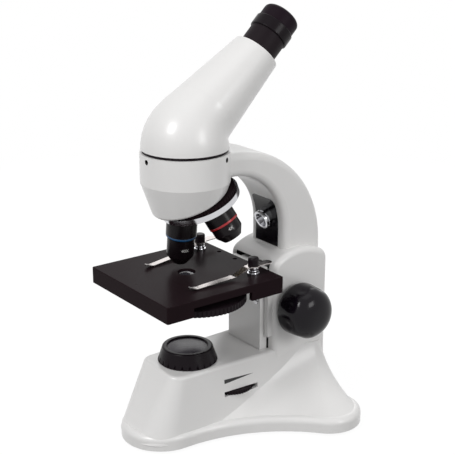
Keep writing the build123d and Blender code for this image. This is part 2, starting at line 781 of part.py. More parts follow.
def stage_plate():
    half = stage_size / 2
    slab = block(-half, half, -half, half, stage_skirt_bottom, stage_top)
    slab = fillet(slab.edges().filter_by(Axis.Z), stage_edge_round)
    slab = fillet(slab.faces().sort_by(Axis.Z)[-1].edges(), stage_edge_round / 2)
    inner = half - stage_wall
    slab = slab - block(-inner, inner, -inner, inner, stage_skirt_bottom, stage_under)
    # window for the diaphragm rim and gap for the slide's shelf
    reach = sqrt(disc_radius ** 2 - (inner - disc_pivot_x) ** 2) + disc_rim
    slab = slab - block(inner - stage_wall, half + stage_wall, disc_pivot_y - reach, disc_pivot_y + reach,
                        stage_skirt_bottom - air_gap, disc_top + disc_rim)
    passage = slide_half + air_gap
    slab = slab - block(-passage, passage, inner - stage_wall, half + stage_wall, stage_skirt_bottom,
                        stage_under)
    pivot = Pos(disc_pivot_x, disc_pivot_y, 0)
    slab = slab + pivot * rod(disc_boss_radius, disc_top + seat_gap, stage_under)
    slab = slab - pivot * rod(disc_pivot_radius + turn_fit, disc_top, stage_under)
    slab = slab - rod(stage_hole_radius, stage_under - air_gap, stage_top + air_gap)
    for side in (-1, 1):
        post_hole = rod(clip_neck_radius + turn_fit, stage_under, stage_top)
        slab = slab - Pos(side * clip_post_x, clip_post_y, 0) * post_hole
        bolt_hole = rod(stage_screw_radius + turn_fit, stage_under, stage_top - stage_plate_thickness / 3)
        slab = slab - Pos(side * stage_screw_spread, stage_screw_y, 0) * bolt_hole
        hole_x = accessory_hole_centre_x + side * accessory_hole_spacing / 2
        slab = slab - Pos(hole_x, accessory_hole_y, 0) * rod(accessory_hole_radius, stage_under, stage_top)
    return slab


def stage_screws():
    screw = rod(stage_screw_radius, shelf_bottom, stage_top - stage_plate_thickness / 3)
    return Compound([Pos(side * stage_screw_spread, stage_screw_y, 0) * screw for side in (-1, 1)])


def condenser_ring():
    low = shelf_bottom
    seat = stage_under - condenser_lens_edge
    return turned([(condenser_bore_radius, low), (condenser_ring_radius, low),
                   (condenser_ring_radius, stage_under), (stage_hole_radius, stage_under),
                   (stage_hole_radius, seat), (condenser_bore_radius, seat)])


def condenser_lens():
    seat = stage_under - condenser_lens_edge
    return Pos(0, 0, seat) * dome(stage_hole_radius - turn_fit, stage_plate_thickness, condenser_lens_rise)


def diaphragm_disc():
    rim = extrude(knurled(disc_radius, disc_knurl_radius, disc_knurl_count), disc_rim)
    disc = rim - rod(disc_radius - disc_rim_width, -air_gap, disc_rim - disc_web)
    disc = disc + rod(2 * disc_pivot_radius, 0, disc_rim)
    disc = disc - rod(disc_pivot_radius + turn_fit, -air_gap, disc_rim + air_gap)
    pitch = sqrt(disc_pivot_x ** 2 + disc_pivot_y ** 2)
    for number, radius in enumerate(aperture_radii):
        turn = Rot(0, 0, number * 360 / len(aperture_radii))
        disc = disc - turn * Pos(-pitch, 0, 0) * rod(radius, -air_gap, disc_rim + air_gap)
    facing = Vector(disc_pivot_x, disc_pivot_y).get_signed_angle(Vector(1, 0)) * -1
    return Pos(disc_pivot_x, disc_pivot_y, disc_bottom) * Rot(0, 0, facing) * disc


def disc_pivot():
    head = disc_bottom - seat_gap
    screw = rod(disc_pivot_head_radius, head - disc_pivot_head, head)
    screw = screw + rod(disc_pivot_radius, head - disc_pivot_head, stage_under)
    slot = block(-disc_pivot_head_radius, disc_pivot_head_radius, -disc_pivot_head / 3, disc_pivot_head / 3,
                 head - 2 * disc_pivot_head, head - disc_pivot_head / 2)
    return Pos(disc_pivot_x, disc_pivot_y, 0) * (screw - slot)


# Stage clips

def clip_posts():
    groove = clip_post_height / 2
    post = turned([(0, -stage_plate_thickness), (clip_neck_radius, -stage_plate_thickness),
                   (clip_neck_radius, 0), (clip_post_flange_radius, 0), (clip_post_flange_radius, groove / 2),
                   (clip_post_radius, groove / 2), (clip_post_radius, groove),
                   (clip_neck_radius * 1.3, groove),
                   (clip_neck_radius * 1.3, groove * 1.3), (clip_post_radius, groove * 1.3),
                   (clip_post_radius, clip_post_height), (clip_neck_radius, clip_post_height),
                   (clip_neck_radius, clip_post_height + clip_cap_height / 2),
                   (0, clip_post_height + clip_cap_height / 2)])
    return Compound([Pos(side * clip_post_x, clip_post_y, stage_top) * post for side in (-1, 1)])


def clip_caps():
    low = clip_post_height + clip_thickness + 2 * seat_gap
    top = low + clip_cap_height
    neck_top = clip_post_height + clip_cap_height / 2
    cap = turned([(clip_neck_radius, low), (clip_cap_radius, low), (clip_cap_radius, top), (0, top),
                  (0, neck_top), (clip_neck_radius, neck_top)],
                 [((clip_cap_radius, top), clip_cap_radius / 3)])
    return Compound([Pos(side * clip_post_x, clip_post_y, stage_top) * cap for side in (-1, 1)])


def clip(side, turn):
    # flat over the post, stepped down to the stage and turned up at the tip
    level = clip_post_height + seat_gap + clip_thickness / 2
    low = clip_foot_gap + clip_thickness / 2
    line = Polyline((clip_tail, level), (-clip_cap_radius, level), (-clip_step, 2.4 * low),
                    (-clip_reach + clip_tip_width, low), (-clip_reach, 4 * low))
    strip = extrude(Plane.YZ * trace(line, clip_thickness), clip_width, both=True)
    tip = clip_tip_width / 2
    plan = make_face(Polyline((-clip_width / 2, 0), (-tip, -clip_reach + tip), (tip, -clip_reach + tip),
                              (clip_width / 2, 0), close=True))
    plan = plan + Pos(0, -clip_reach + tip) * Circle(tip) + Circle(clip_width * 0.65)
    plan = plan + Pos(0, clip_tail / 2) * Rectangle(clip_width * 0.8, clip_tail / 2)
    plan = plan + Pos(0, clip_tail - clip_width / 2) * Circle(clip_width / 2)
    solid = strip & extrude(plan, 2 * clip_post_height)
    solid = solid - rod(clip_neck_radius + turn_fit, 0, 2 * clip_post_height)
    return Pos(side * clip_post_x, clip_post_y, stage_top) * Rot(0, 0, turn) * solid


# Focus drive

def focus_shaft():
    reach = housing_half + bush_flange + knob_thickness * 0.8
    return Pos(0, shaft_back, shaft_height) * side_rod(shaft_radius, -reach, reach)


def focus_pinion():
    # involute teeth; a gap faces the rack
    lean = radians(pressure_angle)
    base = pitch_radius * cos(lean)

    def half_angle(radius):
        roll = sqrt(max(radius / base, 1) ** 2 - 1)
        turned_back = tan(lean) - lean
        spread = roll - acos(base / max(radius, base))
        return (pi / 2 - tooth_backlash / gear_module / 2) / pinion_teeth + turned_back - spread

    def at(radius, angle):
        return (radius * cos(angle), radius * sin(angle))

    root = pitch_radius - 1.25 * gear_module
    tip = pitch_radius + gear_module
    gear = Circle(root)
    for number in range(pinion_teeth):
        mid = pi + (number + 0.5) * 2 * pi / pinion_teeth
        flank = [root - seat_gap, base, pitch_radius, tip]
        points = [at(radius, mid - half_angle(radius)) for radius in flank]
        points += [at(radius, mid + half_angle(radius)) for radius in reversed(flank)]
        gear = gear + make_face(Polyline(*points, close=True))
    gear = gear - Circle(shaft_radius)
    return Pos(0, shaft_back, shaft_height) * extrude(Plane.YZ * gear, pinion_half, both=True)


def shaft_bushes():
    inner = shaft_radius + turn_fit
    bush = side_rod(bush_radius - turn_fit, gear_bay_half, housing_half)
    bush = bush + side_rod(bush_flange_radius, housing_half, housing_half + bush_flange)
    bush = bush - side_rod(inner, 0, 2 * housing_half)
    return Pos(0, shaft_back, shaft_height) * both_sides(bush)


def focus_knob():
    start = housing_half + bush_flange + air_gap
    end = start + knob_thickness
    bottom_of_hole = housing_half + bush_flange + knob_thickness * 0.8
    knob = turned([(shaft_radius, start), (knob_radius - knob_round / 2, start),
                   (knob_radius, start + knob_round / 2), (knob_radius, end), (knob_dish_radius, end),
                   (knob_dish_radius, end - knob_dish_depth),
                   (0, end - knob_dish_depth), (0, bottom_of_hole), (shaft_radius, bottom_of_hole)],
                  [((knob_radius, end), knob_round), ((knob_dish_radius, end), knob_dish_depth / 2),
                   ((knob_dish_radius, end - knob_dish_depth), knob_dish_depth / 2)])
    return Pos(0, shaft_back, shaft_height) * Rot(0, 90, 0) * knob


# Turret

def turret_base():
    top = cup_cut
    plate = rod(turret_base_radius, top, top + turret_base_thickness)
    plate = turret_plane * (plate - rod(turret_pivot_radius + turn_fit, top, 0))
    return plate - rod(objective_bore_radius + seat_gap, seat_height, cup_top)


def turret_pivot():
    head = -turret_pivot_head
    pin = rod(turret_pivot_radius, cup_cut, 0) + rod(turret_pivot_head_radius, head, 0)
    half = turret_pivot_head_radius
    slot = block(-half, half, -air_gap, air_gap, -2 * air_gap, air_gap)
    return turret_plane * (pin - slot)


def at_three_seats(shape):
    turns = (turret_rest_turn, turret_rest_turn + 120, turret_rest_turn + 240)
    return [turret_turn(shape, turn) for turn in turns]


def turret_plate():
    band_top = -turret_ring_height - turret_band_height
    deck = cup_cut + turret_base_thickness + air_gap
    band = Pos(0, 0, band_top) * extrude(knurled(turret_band_radius, turret_knurl_radius, turret_knurl_count),
                                         turret_band_height)
    plate = turret_plane * (band + rod(turret_ring_radius - turret_band_height, band_top, 0)
                            - rod(turret_base_radius + air_gap, band_top - air_gap, deck))
    for boss in at_three_seats(rod(seat_boss_radius, seat_height - seat_boss_length, seat_height)):
        plate = plate + boss
    reach = turret_ring_height + turret_band_height
    for bore in at_three_seats(rod(thread_radius + turn_fit, seat_height - 2 * seat_boss_length,
                                   seat_height - seat_boss_length + thread_length)
                               + rod(objective_bore_radius + seat_gap, seat_height, seat_height + 2 * reach)):
        plate = plate - bore
    pin = rod(turret_pivot_radius + turn_fit, cup_cut, 0)
    pin = pin + rod(turret_pivot_head_radius + turn_fit, -turret_pivot_head - seat_gap, 2 * seat_boss_length)
    return plate - turret_plane * pin


def turret_ring():
    inner = turret_ring_radius - turret_band_height
    return turret_plane * tube(turret_ring_radius, inner, -turret_ring_height, 0)


def objective(length, band, body_radius, nose_length, nose_radius):
    # a turned barrel hanging from its seat, with a groove for the colour band
    def down(radius, depth):
        return (radius, seat_height - depth)

    shoulder = seat_boss_length
    groove = objective_groove
    return turned([down(objective_bore_radius, shoulder - thread_length + seat_gap),
                   down(thread_radius, shoulder - thread_length + seat_gap), down(thread_radius, shoulder),
                   down(collar_radius, shoulder), down(collar_radius, band - 2 * groove),
                   down(collar_radius - groove, band - 2 * groove),
                   down(collar_radius - groove, band + groove), down(body_radius, band + 3 * groove),
                   down(body_radius, length - nose_length),
                   down(nose_radius, length), down(objective_bore_radius, length)],
                  [(down(body_radius, length - nose_length), nose_length / 2)])


def objective_lens(length):
    return rod(objective_bore_radius - turn_fit, seat_height - length + seat_gap,
               seat_height - length + seat_gap + objective_lens_thickness)


# Head and eyepiece

def ring_at(y, z, lean, radius):
    return Plane((0, y, z), (1, 0, 0), (0, sin(radians(lean)), cos(radians(lean)))) * Circle(radius)


def head_form():
    # a bell on the cup that leans over into a straight, slowly narrowing tube
    bell = (bend_z - head_low) / 3
    rise = Vector(0, tube_end_y - bend_y, tube_end_z - bend_z)
    neck_y = bend_y + rise.Y * tube_start
    neck_z = bend_z + rise.Z * tube_start
    neck_radius = bend_radius + (tube_end_radius - bend_radius) * tube_start
    neck = ring_at(neck_y, neck_z, tube_tilt, neck_radius)
    middle_radius = (head_base_radius + bend_radius) / 2
    rings = [ring_at(0, head_low, 0, head_base_radius),
             ring_at(bend_y / 12, head_low + bell, tube_tilt / 4, head_base_radius - bell / 12),
             ring_at(bend_y * 0.4, head_low + bell * 2.1, tube_tilt * 0.6, middle_radius),
             ring_at(bend_y, bend_z, tube_tilt, bend_radius), neck]
    return loft(rings) + loft([neck, ring_at(tube_end_y, tube_end_z, tube_tilt, tube_end_radius)])


def head_shell():
    bell_radius = head_base_radius - head_wall
    bell_top = (head_low + bend_z) / 2
    hollow = turned([(0, head_low - seat_gap), (bell_radius, head_low - seat_gap),
                     (bell_radius, head_low + head_wall), (sleeve_radius, bell_top + head_wall),
                     (0, bell_top + head_wall)])
    bore = rod(sleeve_radius + turn_fit, head_low - tube_end_z, seat_gap)
    wide = 6 * tube_end_y
    above = Pos(0, 0, (head_low + bell_top) / 2) * extrude(Rectangle(wide, wide), tube_end_z)
    return head_form() - hollow - ((tube_plane * bore) & above)


def head_flange():
    low = cup_top + seat_gap
    neck = cup_bore_radius - turn_fit
    return turned([(head_bore_radius, cup_top - head_spigot_length), (neck, cup_top - head_spigot_length),
                   (neck, low), (head_flange_radius, low), (head_flange_radius, head_low),
                   (head_bore_radius, head_low)])


def prism_holder():
    low = cup_top - head_spigot_length
    return tube(head_bore_radius - turn_fit, prism_half * 0.8, low, low + prism_seat_height)


def prism():
    # a 45 degree prism: light enters its flat foot and leaves square to the eyepiece tube
    low = cup_top - head_spigot_length + prism_seat_height
    edge = prism_leg / 2
    lean = radians(tube_tilt)
    top = (edge - prism_leg * cos(lean), low + prism_leg * sin(lean))
    side = make_face(Polyline((edge, low), (-edge, low), top, close=True))
    return extrude(Plane.YZ * side, prism_half, both=True)


def eyepiece_sleeve():
    return tube_plane * tube(sleeve_radius, eyepiece_radius + slide_fit, -sleeve_insert, sleeve_reach)


def eyepiece_barrel():
    inner = eyepiece_radius - eyepiece_wall
    low = sleeve_reach + seat_gap
    top = low + eyepiece_flange
    foot = sleeve_reach - eyepiece_insert
    return tube_plane * turned([(inner, foot), (eyepiece_radius, foot), (eyepiece_radius, low),
                                (eyepiece_flange_radius, low), (eyepiece_flange_radius, top),
                                (inner, top)],
                               [((eyepiece_flange_radius, low), 0.6), ((eyepiece_flange_radius, top), 0.6)])


def eyecup():
    low = sleeve_reach + seat_gap + eyepiece_flange
    top = low + eyecup_height
    return tube_plane * turned([(eye_lens_radius, low), (eyecup_radius, low), (eyecup_radius, top),
                                (eyecup_dish_radius, top), (eye_lens_radius, top - 2 * eye_lens_thickness)],
                               [((eyecup_radius, top), eyecup_height / 3)])


def eye_lens():
    low = sleeve_reach + seat_gap + eyepiece_flange
    lens = dome(eye_lens_radius - turn_fit, eye_lens_thickness, eye_lens_thickness / 3)
    return tube_plane * Pos(0, 0, low) * lens


def field_lens():
    low = -eyepiece_insert + sleeve_reach
    return tube_plane * rod(eyepiece_radius - eyepiece_wall - turn_fit, low, low + field_lens_thickness)


def lock_screws():
    inner = cup_bore_radius + seat_gap
    screw = rod(lock_screw_radius, 0, cup_radius - lock_screw_recess - inner)
    screw = Pos(0, -inner, cup_top - lock_screw_drop) * Rot(90, 0, 0) * screw
    return Compound([turn * screw for turn in lock_spots()])


# Dimmer, inlet and switch

def dimmer_x():
    # the front body's flank at the dimmer's height
    up = (dimmer_height - foot_height - skirt_round) / (platform_height - foot_height - skirt_round)
    back = (dimmer_y + platform_front) / (housing_rear + platform_front)
    foot = body_foot_front_half + (body_foot_rear_half - body_foot_front_half) * back
    head = platform_front_half + (platform_rear_half - platform_front_half) * back
    return foot + (head - foot) * up + dimmer_proud - dimmer_radius


def dimmer_wheel():
    low = dimmer_height - dimmer_thickness / 2
    wheel = extrude(knurled(dimmer_radius, dimmer_knurl_radius, dimmer_knurl_count), dimmer_thickness)
    wheel = wheel - rod(dimmer_spindle_radius + turn_fit, -air_gap, dimmer_thickness + air_gap)
    return Pos(dimmer_x(), dimmer_y, low) * wheel


def dimmer_pot():
    low = dimmer_height - dimmer_thickness / 2
    deck = dimmer_height + dimmer_thickness / 2 + air_gap
    pot = rod(pot_radius, deck, cavity_top) + rod(dimmer_spindle_radius, low, deck)
    return Pos(dimmer_x(), dimmer_y, 0) * pot


def dc_inlet():
    body = rod(inlet_flange_radius, 0, inlet_flange)
    body = body + rod(inlet_body_radius, -inlet_body_length, inlet_flange)
    body = body - rod(inlet_socket_radius, inlet_flange - inlet_socket_depth, inlet_flange)
    body = body + rod(inlet_pin_radius, -inlet_body_length, inlet_flange - inlet_pin_radius)
    return Pos(inlet_x, housing_rear, rear_panel_height) * Rot(-90, 0, 0) * body


def switch_frame_box():
    wide = switch_width / 2
    tall = switch_tall / 2
    rim = switch_rim
    frame = block(-wide - rim, wide + rim, -tall - rim, tall + rim, 0, switch_frame)
    frame = frame + block(-wide, wide, -tall, tall, -switch_body_depth, switch_frame)
    hollow = block(-wide + switch_rim, wide - switch_rim, -tall + switch_rim, tall - switch_rim,
                   -switch_body_depth + switch_rim, switch_frame)
    pin = side_rod(rocker_pin_radius, -wide, wide)
    frame = (frame - hollow) + Pos(0, 0, rocker_proud - rocker_radius + switch_frame) * pin
    return Pos(switch_x, housing_rear, rear_panel_height) * Rot(-90, 0, 0) * frame


def switch_rocker():
    wide = switch_width / 2 - switch_rim - air_gap
    tall = switch_tall / 2 - switch_rim - rocker_swing_room
    drum = side_rod(rocker_radius, -wide, wide) & block(-wide, wide, -tall, tall, -tall, rocker_radius)
    drum = drum - side_rod(rocker_pin_radius + turn_fit, -2 * wide, 2 * wide)
    drum = Pos(0, 0, rocker_proud - rocker_radius + switch_frame) * drum
    return Pos(switch_x, housing_rear, rear_panel_height) * Rot(-90, 0, 0) * drum


def keep(name, shape):
    export_step(Pos(0, axis_y, 0) * shape, f"parts/{name}.step")


def main():
    os.makedirs("parts", exist_ok=True)
    for make in (stand, base_cover, cover_screws, rubber_feet, lamp_bezel, lamp_lens, led_board, lower_led,
                 lamp_panel, upper_lamp_barrel, upper_led, guide_rails, stage_slide, slide_screws, focus_rack,
                 stage_plate, stage_screws, condenser_ring, condenser_lens, diaphragm_disc, disc_pivot,
                 clip_posts, clip_caps, focus_shaft, focus_pinion, shaft_bushes, turret_base, turret_pivot,
                 turret_plate, turret_ring, head_shell, head_flange, prism_holder, prism, eyepiece_sleeve,
                 eyepiece_barrel, eyecup, eye_lens, field_lens, lock_screws, dimmer_wheel, dimmer_pot,
                 dc_inlet, switch_rocker):
        keep(make.__name__, make())
    keep("switch_frame", switch_frame_box())
    keep("clip_right", clip(1, 0))
    keep("clip_left", clip(-1, clip_left_turn))
    keep("focus_knob_right", focus_knob())
    keep("focus_knob_left", mirror(focus_knob(), Plane.YZ))
    lenses = []
    for number, (name, sizes) in enumerate(objective_sizes.items()):
        turn = turret_rest_turn + 120 * number
        keep(name, turret_turn(objective(**sizes), turn))
        lenses.append(turret_turn(objective_lens(sizes["length"]), turn))
    keep("objective_lenses", Compound(lenses))


main()
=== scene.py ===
import bpy
import math
import numpy as np
from mathutils import Matrix, Vector
from mathutils.bvhtree import BVHTree


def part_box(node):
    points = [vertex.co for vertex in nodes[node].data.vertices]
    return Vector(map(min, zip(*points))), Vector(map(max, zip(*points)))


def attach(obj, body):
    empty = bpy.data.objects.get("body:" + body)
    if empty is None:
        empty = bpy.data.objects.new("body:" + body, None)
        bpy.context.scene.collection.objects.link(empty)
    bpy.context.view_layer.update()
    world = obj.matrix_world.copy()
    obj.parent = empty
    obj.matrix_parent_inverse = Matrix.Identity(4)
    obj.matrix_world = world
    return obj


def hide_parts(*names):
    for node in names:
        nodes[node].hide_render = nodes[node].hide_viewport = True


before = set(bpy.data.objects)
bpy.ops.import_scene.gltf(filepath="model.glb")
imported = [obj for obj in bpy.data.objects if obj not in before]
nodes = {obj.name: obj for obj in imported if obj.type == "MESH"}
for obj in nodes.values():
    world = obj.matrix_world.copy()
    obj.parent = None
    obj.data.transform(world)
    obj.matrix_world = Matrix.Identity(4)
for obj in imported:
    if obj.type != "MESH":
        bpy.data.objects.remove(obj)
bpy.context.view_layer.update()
mm = 0.001
white = (1, 1, 1, 1)
firstColour, secondColour, mixedColour = 6, 7, 2  # sockets of a colour mix node
sharpEdge = math.radians(40)
grain = {"driftDetail": 2.0, "skinDetail": 3.0, "bumpMm": 0.1}


def toLinear(hexText):  # sRGB hex to linear rgba
    rgb = np.array([int(hexText[i:i + 2], 16) for i in (1, 3, 5)]) / 255
    linear = np.where(rgb <= 0.04045, rgb / 12.92, ((rgb + 0.055) / 1.055) ** 2.4)
    return (*linear, 1.0)


def perMetre(sizeMm):  # texture scale that repeats every sizeMm millimetres
    return 1 / (sizeMm * mm)


def addNode(tree, kind, settings=None, links=None):
    # settings set attributes by name and input sockets by name or number,
    # links join an output (node, name or number) to an input
    node = tree.nodes.new(kind)
    for key, value in (settings or {}).items():
        if isinstance(key, str) and hasattr(node, key):
            setattr(node, key, value)
        else:
            node.inputs[key].default_value = value
    for key, (source, outName) in (links or {}).items():
        tree.links.new(source.outputs[outName], node.inputs[key])
    return node


def newMaterial(name):
    material = bpy.data.materials.new(name)
    material.use_nodes = True
    material.node_tree.nodes.clear()
    return material, material.node_tree


def finishMaterial(material, shader):
    tree = material.node_tree
    addNode(tree, "ShaderNodeOutputMaterial", {}, {"Surface": (shader, 0)})
    return material


def paintShade(tree, coords, paint, paintedShade):
    # painted shade: a near-black colour replaces the paint inside a box, given by its middle and
    # half sizes in millimetres, and in small round holes, for the shade in a slot and in screw holes
    place = addNode(tree, "ShaderNodeSeparateXYZ", {}, {"Vector": (coords, "Object")})
    inside = None
    for axis, middle, half in zip("XYZ", paintedShade["middle"], paintedShade["half"]):
        near = addNode(tree, "ShaderNodeMath", {"operation": "COMPARE", 1: middle * mm, 2: half * mm},
                       {0: (place, axis)})
        if inside is not None:
            near = addNode(tree, "ShaderNodeMath", {"operation": "MULTIPLY"},
                           {0: (near, 0), 1: (inside, 0)})
        inside = near
    for hole in paintedShade["holes"]:
        away = addNode(tree, "ShaderNodeVectorMath",
                       {"operation": "DISTANCE", 1: [value * mm for value in hole]},
                       {0: (coords, "Object")})
        within = addNode(tree, "ShaderNodeMath", {"operation": "LESS_THAN", 1: paintedShade["holeReach"] * mm},
                         {0: (away, "Value")})
        inside = addNode(tree, "ShaderNodeMath", {"operation": "MAXIMUM"},
                         {0: (inside, 0), 1: (within, 0)})
    mixed = addNode(tree, "ShaderNodeMix",
                    {"data_type": "RGBA", secondColour: toLinear(paintedShade["colour"])},
                    {"Factor": (inside, 0), firstColour: paint})
    return mixed, mixedColour


def coatedSurface(name, look):
    # a base colour and gloss that drift slightly over driftMm, and a fine skin of bumps skinMm across
    material, tree = newMaterial(name)
    coords = addNode(tree, "ShaderNodeTexCoord")
    drift = addNode(tree, "ShaderNodeTexNoise",
                    {"Scale": perMetre(look["driftMm"]), "Detail": grain["driftDetail"]},
                    {"Vector": (coords, "Object")})
    colour = addNode(tree, "ShaderNodeMix",
                     {"data_type": "RGBA", firstColour: toLinear(look["colour"]),
                      secondColour: toLinear(look["colourTo"])}, {"Factor": (drift, "Fac")})
    paint = (colour, mixedColour)
    if "paintedShade" in look:
        paint = paintShade(tree, coords, paint, look["paintedShade"])
    gloss = addNode(tree, "ShaderNodeMapRange", {"To Min": look["roughness"] - look["glossDrift"],
                                                 "To Max": look["roughness"] + look["glossDrift"]},
                    {"Value": (drift, "Fac")})
    skin = addNode(tree, "ShaderNodeTexNoise",
                   {"Scale": perMetre(look["skinMm"]), "Detail": grain["skinDetail"]},
                   {"Vector": (coords, "Object")})
    bump = addNode(tree, "ShaderNodeBump",
                   {"Strength": look["skinDepth"], "Distance": grain["bumpMm"] * mm},
                   {"Height": (skin, "Fac")})
    shader = addNode(tree, "ShaderNodeBsdfPrincipled",
                     {"Metallic": look.get("metallic", 0.0), "Coat Weight": look.get("coat", 0.0),
                      "Coat Roughness": look.get("coatRoughness", 0.1),
                      "Specular IOR Level": look.get("specular", 0.5)},
                     {"Base Color": paint, "Roughness": (gloss, 0), "Normal": (bump, 0)})
    if "ior" in look:
        shader.inputs["IOR"].default_value = look["ior"]
    return finishMaterial(material, shader)


def clearGlass(name, look):
    # glass that lets through the share given as transmission, and is a tinted solid for the rest
    material, tree = newMaterial(name)
    shader = addNode(tree, "ShaderNodeBsdfPrincipled",
                     {"Base Color": toLinear(look["colour"]), "Roughness": look["roughness"],
                      "IOR": look["ior"], "Transmission Weight": look["transmission"],
                      "Coat Weight": look["coat"], "Specular IOR Level": look["specular"]})
    return finishMaterial(material, shader)


# stove enamel over cast metal: pale, smooth and slightly wavy
enamelLook = {
    "colour": "#E7E6E5", "colourTo": "#E3E2E1", "driftMm": 40, "roughness": 0.34, "glossDrift": 0.03,
    "skinMm": 1.4, "skinDepth": 0.04, "coat": 0.25, "coatRoughness": 0.15, "ior": 1.5}
whiteEnamel = coatedSurface("white stove enamel", enamelLook)
# the same on the stand, with painted shade: its slide slot and screw holes are coloured near black
castingEnamel = coatedSurface("white stove enamel, bare slot", {
    **enamelLook,
    # painted shade: the near-black box fills the slide slot, the three spots fill the screw holes
    "paintedShade": {"middle": (0, 31.0, 78.0), "half": (18.45, 3.2, 33.05), "colour": "#1C1B1B",
             "holes": ((0, -55.2, 190.6), (24.16, -13.35, 190.6), (-24.16, -13.35, 190.6)),
             "holeReach": 1.95}})
# fine powder coat on the stage and turret: a soft sheen that mirrors what stands on it
blackPowderCoat = coatedSurface("black powder coat", {
    "colour": "#1E1518", "colourTo": "#23191C", "driftMm": 15, "roughness": 0.3, "glossDrift": 0.05,
    "skinMm": 0.6, "skinDepth": 0.15, "specular": 0.015})
# black anodised aluminium barrels: dark with a tight metallic sheen
blackAnodised = coatedSurface("black anodised aluminium", {
    "colour": "#0E090C", "colourTo": "#130D10", "driftMm": 6, "roughness": 0.28, "glossDrift": 0.04,
    "skinMm": 0.3, "skinDepth": 0.06, "coat": 0.05, "coatRoughness": 0.15, "specular": 0.14})
# moulded ABS knobs and lamp panel: near black, glossy
glossAbs = coatedSurface("black gloss ABS", {
    "colour": "#0D090F", "colourTo": "#120D14", "driftMm": 12, "roughness": 0.17, "glossDrift": 0.03,
    "skinMm": 0.8, "skinDepth": 0.03, "specular": 0.2})
# the same plastic with a satin skin: lamp ring, eyepiece, clip nuts
satinAbs = coatedSurface("black satin ABS", {
    "colour": "#120B10", "colourTo": "#161015", "driftMm": 12, "roughness": 0.28, "glossDrift": 0.04,
    "skinMm": 0.8, "skinDepth": 0.05, "specular": 0.11})
# spark-textured ABS: the same plastic from an etched mould, dull
dullAbs = coatedSurface("etched black ABS", {
    "colour": "#170F14", "colourTo": "#1B1418", "driftMm": 10, "roughness": 0.5, "glossDrift": 0.05,
    "skinMm": 0.5, "skinDepth": 0.3, "specular": 0.1})
# moulded rubber: black, dusty and matte
blackRubber = coatedSurface("black moulded rubber", {
    "colour": "#160B14", "colourTo": "#1A1018", "driftMm": 8, "roughness": 0.5, "glossDrift": 0.06,
    "skinMm": 0.7, "skinDepth": 0.25, "specular": 0.08})
# nickel-chrome plating: mirror bright
chromePlate = coatedSurface("chrome plating", {
    "colour": "#C9C9CC", "colourTo": "#BFBFC3", "driftMm": 9, "roughness": 0.1, "glossDrift": 0.03,
    "skinMm": 2.0, "skinDepth": 0.02, "metallic": 1.0})
# chrome over a turned ring: bright, a little softer than the posts
satinChrome = coatedSurface("satin chrome", {
    "colour": "#CFCFD2", "colourTo": "#C3C3C7", "driftMm": 6, "roughness": 0.13, "glossDrift": 0.03,
    "skinMm": 0.6, "skinDepth": 0.04, "metallic": 1.0})
# blackened steel set screws
blackOxide = coatedSurface("black oxide steel", {
    "colour": "#040404", "colourTo": "#070707", "driftMm": 3, "roughness": 0.5, "glossDrift": 0.06,
    "skinMm": 0.3, "skinDepth": 0.1, "specular": 0.06})
# nickel-plated spring steel of the clips: softer and warmer than chrome
nickelSpring = coatedSurface("nickel-plated spring steel", {
    "colour": "#B3ADAB", "colourTo": "#A8A2A0", "driftMm": 7, "roughness": 0.23, "glossDrift": 0.04,
    "skinMm": 0.8, "skinDepth": 0.05, "metallic": 1.0})
# turned steel pins and screws: grey, fine tool marks
turnedSteel = coatedSurface("turned steel", {
    "colour": "#A8A8A9", "colourTo": "#98989A", "driftMm": 3, "roughness": 0.28, "glossDrift": 0.06,
    "skinMm": 0.25, "skinDepth": 0.1, "metallic": 1.0})
# cut brass of the rack, pinion and bushes
cutBrass = coatedSurface("cut brass", {
    "colour": "#C9A45A", "colourTo": "#BC954B", "driftMm": 4, "roughness": 0.26, "glossDrift": 0.05,
    "skinMm": 0.3, "skinDepth": 0.08, "metallic": 1.0})
# solder mask over fibreglass
solderMask = coatedSurface("green solder mask", {
    "colour": "#1E5A32", "colourTo": "#1A4E2B", "driftMm": 3, "roughness": 0.3, "glossDrift": 0.04,
    "skinMm": 0.4, "skinDepth": 0.1, "ior": 1.5})
# epoxy lens of a white lamp chip, phosphor yellow below
ledEpoxy = coatedSurface("white LED epoxy", {
    "colour": "#EFE9C6", "colourTo": "#E9DF9F", "driftMm": 3, "roughness": 0.15, "glossDrift": 0.03,
    "skinMm": 0.6, "skinDepth": 0.02, "ior": 1.5})
# polished crown glass with a violet-blue coating
coatedGlass = clearGlass("coated crown glass", {
    "colour": "#C9CBDD", "roughness": 0.03, "ior": 1.52, "transmission": 0.95, "coat": 0.3,
    "specular": 0.5})
# glass darkened by the shaded disc below it
shadedGlass = clearGlass("shaded condenser glass", {
    "colour": "#4A4850", "roughness": 0.05, "ior": 1.45, "transmission": 0.6, "coat": 0.0,
    "specular": 0.2})
# ground glass over the lamp: grey-violet and cloudy
groundGlass = clearGlass("ground lamp glass", {
    "colour": "#3B363E", "roughness": 0.22, "ior": 1.4, "transmission": 0.2, "coat": 0.0,
    "specular": 0.2})
print("materials made")

